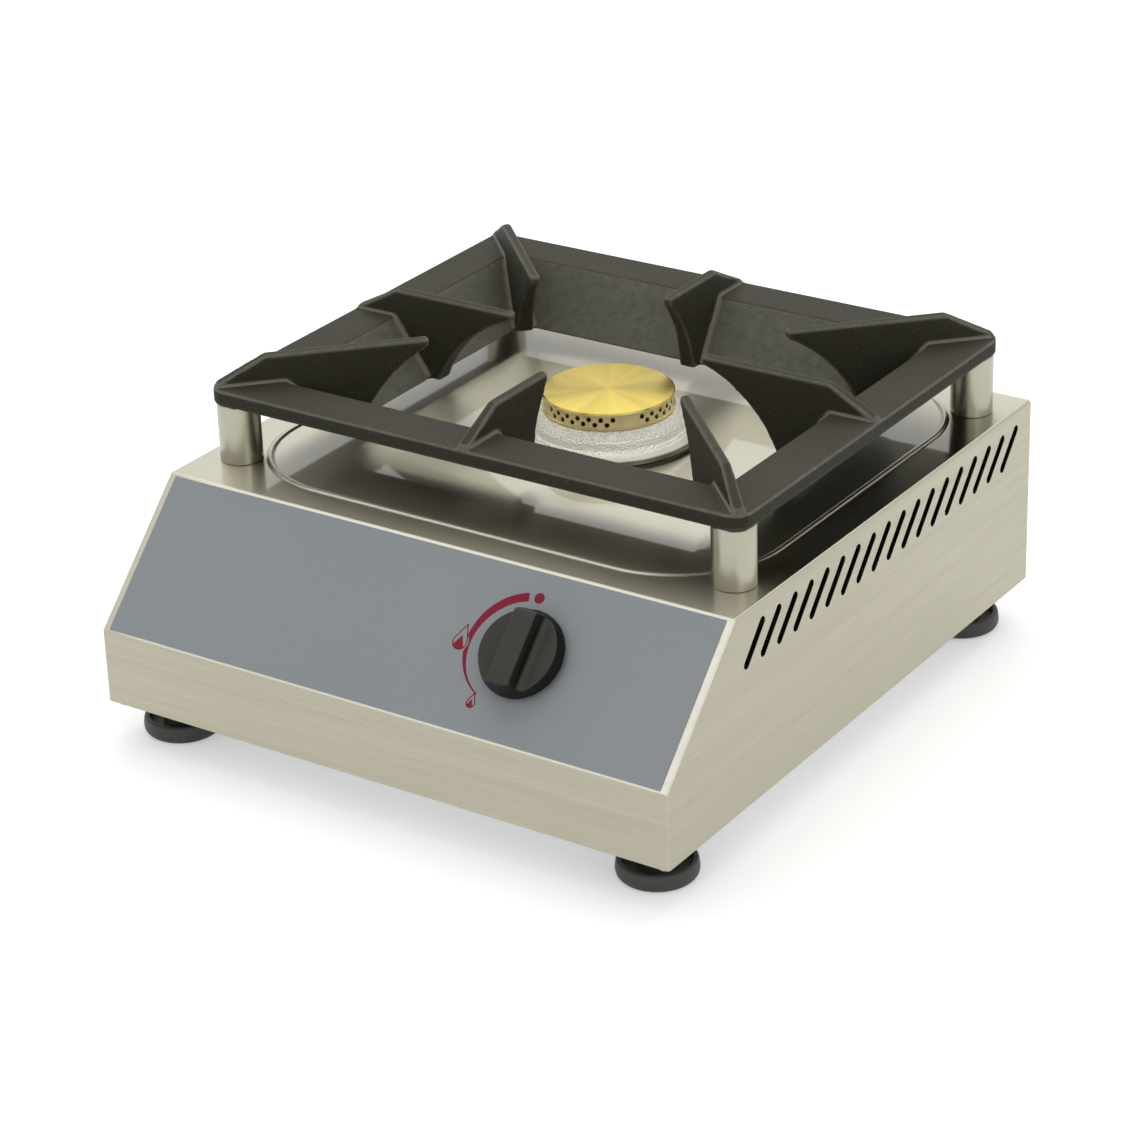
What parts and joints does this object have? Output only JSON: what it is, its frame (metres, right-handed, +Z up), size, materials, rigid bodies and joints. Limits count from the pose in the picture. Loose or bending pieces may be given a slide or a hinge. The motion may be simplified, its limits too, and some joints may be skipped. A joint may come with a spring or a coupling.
{
  "type": "countertop gas burner",
  "caption": "Countertop gas stove with a sloped steel body, brass-capped burner, cast-iron pan support on posts, push-and-turn knob and rubber feet.",
  "frame": {"origin": "on the table under the middle of the bounding box", "axes": "+X to the right seen from the front, +Y to the back where the gas inlet is, +Z up"},
  "size_m": [0.38, 0.432, 0.2047],
  "materials": {
    "steel_sheet": "brushed, mirror-like on the top",
    "zinc_steel": "zinc plated",
    "galvanised_sheet": "plain galvanised sheet",
    "bright_steel": "turned and polished",
    "panel_film": "satin printed film",
    "black_rubber": "moulded matt",
    "cast_iron": "rough matt casting",
    "cast_aluminium": "cast, part machined",
    "aluminium_pipe": "drawn",
    "brass": "turned",
    "black_plastic": "moulded, satin gloss"
  },
  "bodies": {
    "chassis": {"body_shell": "steel_sheet", "rear_panel": "steel_sheet", "rear_screws": "zinc_steel", "bottom_plate": "galvanised_sheet", "bottom_screws": "zinc_steel", "front_overlay": "panel_film", "feet": "black_rubber", "foot_screws": "zinc_steel", "foot_nuts": "zinc_steel", "posts": "bright_steel", "post_screws": "zinc_steel", "burner_body": "cast_aluminium", "burner_screws": "zinc_steel", "burner_venturi": "cast_aluminium", "injector": "brass", "injector_holder": "brass", "injector_bracket": "galvanised_sheet", "bracket_screws": "zinc_steel", "gas_tap_body": "brass", "tap_nut": "zinc_steel", "safety_magnet": "zinc_steel", "burner_pipe": "aluminium_pipe", "supply_pipe": "aluminium_pipe", "pipe_nuts": "brass", "gas_inlet": "brass", "inlet_locknut": "brass", "thermocouple": "bright_steel", "thermocouple_nut": "brass"},
    "pan_support": {"pan_support": "cast_iron"},
    "burner_cap": {"burner_cap": "brass"},
    "tap_plug": {"tap_plug": "brass"},
    "knob": {"knob": "black_plastic", "tap_spindle": "zinc_steel"}
  },
  "joints": [
    {"name": "knob_turn", "type": "hinge", "parent": "chassis", "child": "tap_plug", "pos_m": [0.0788, -0.18032, 0.10644], "axis": [0, -0.7146, 0.6996], "range_deg": [0, 125]},
    {"name": "knob_push", "type": "slide", "parent": "tap_plug", "child": "knob", "axis": [0, 0.7146, -0.6996], "range_m": [0, 0.0025], "stiffness_N_per_m": 1200, "springref_m": -0.002},
    {"name": "pan_support_lift", "type": "slide", "parent": "chassis", "child": "pan_support", "axis": [0, 0, 1], "range_m": [0, 0.06]},
    {"name": "burner_cap_lift", "type": "slide", "parent": "chassis", "child": "burner_cap", "axis": [0, 0, 1], "range_m": [0, 0.04]}
  ]
}
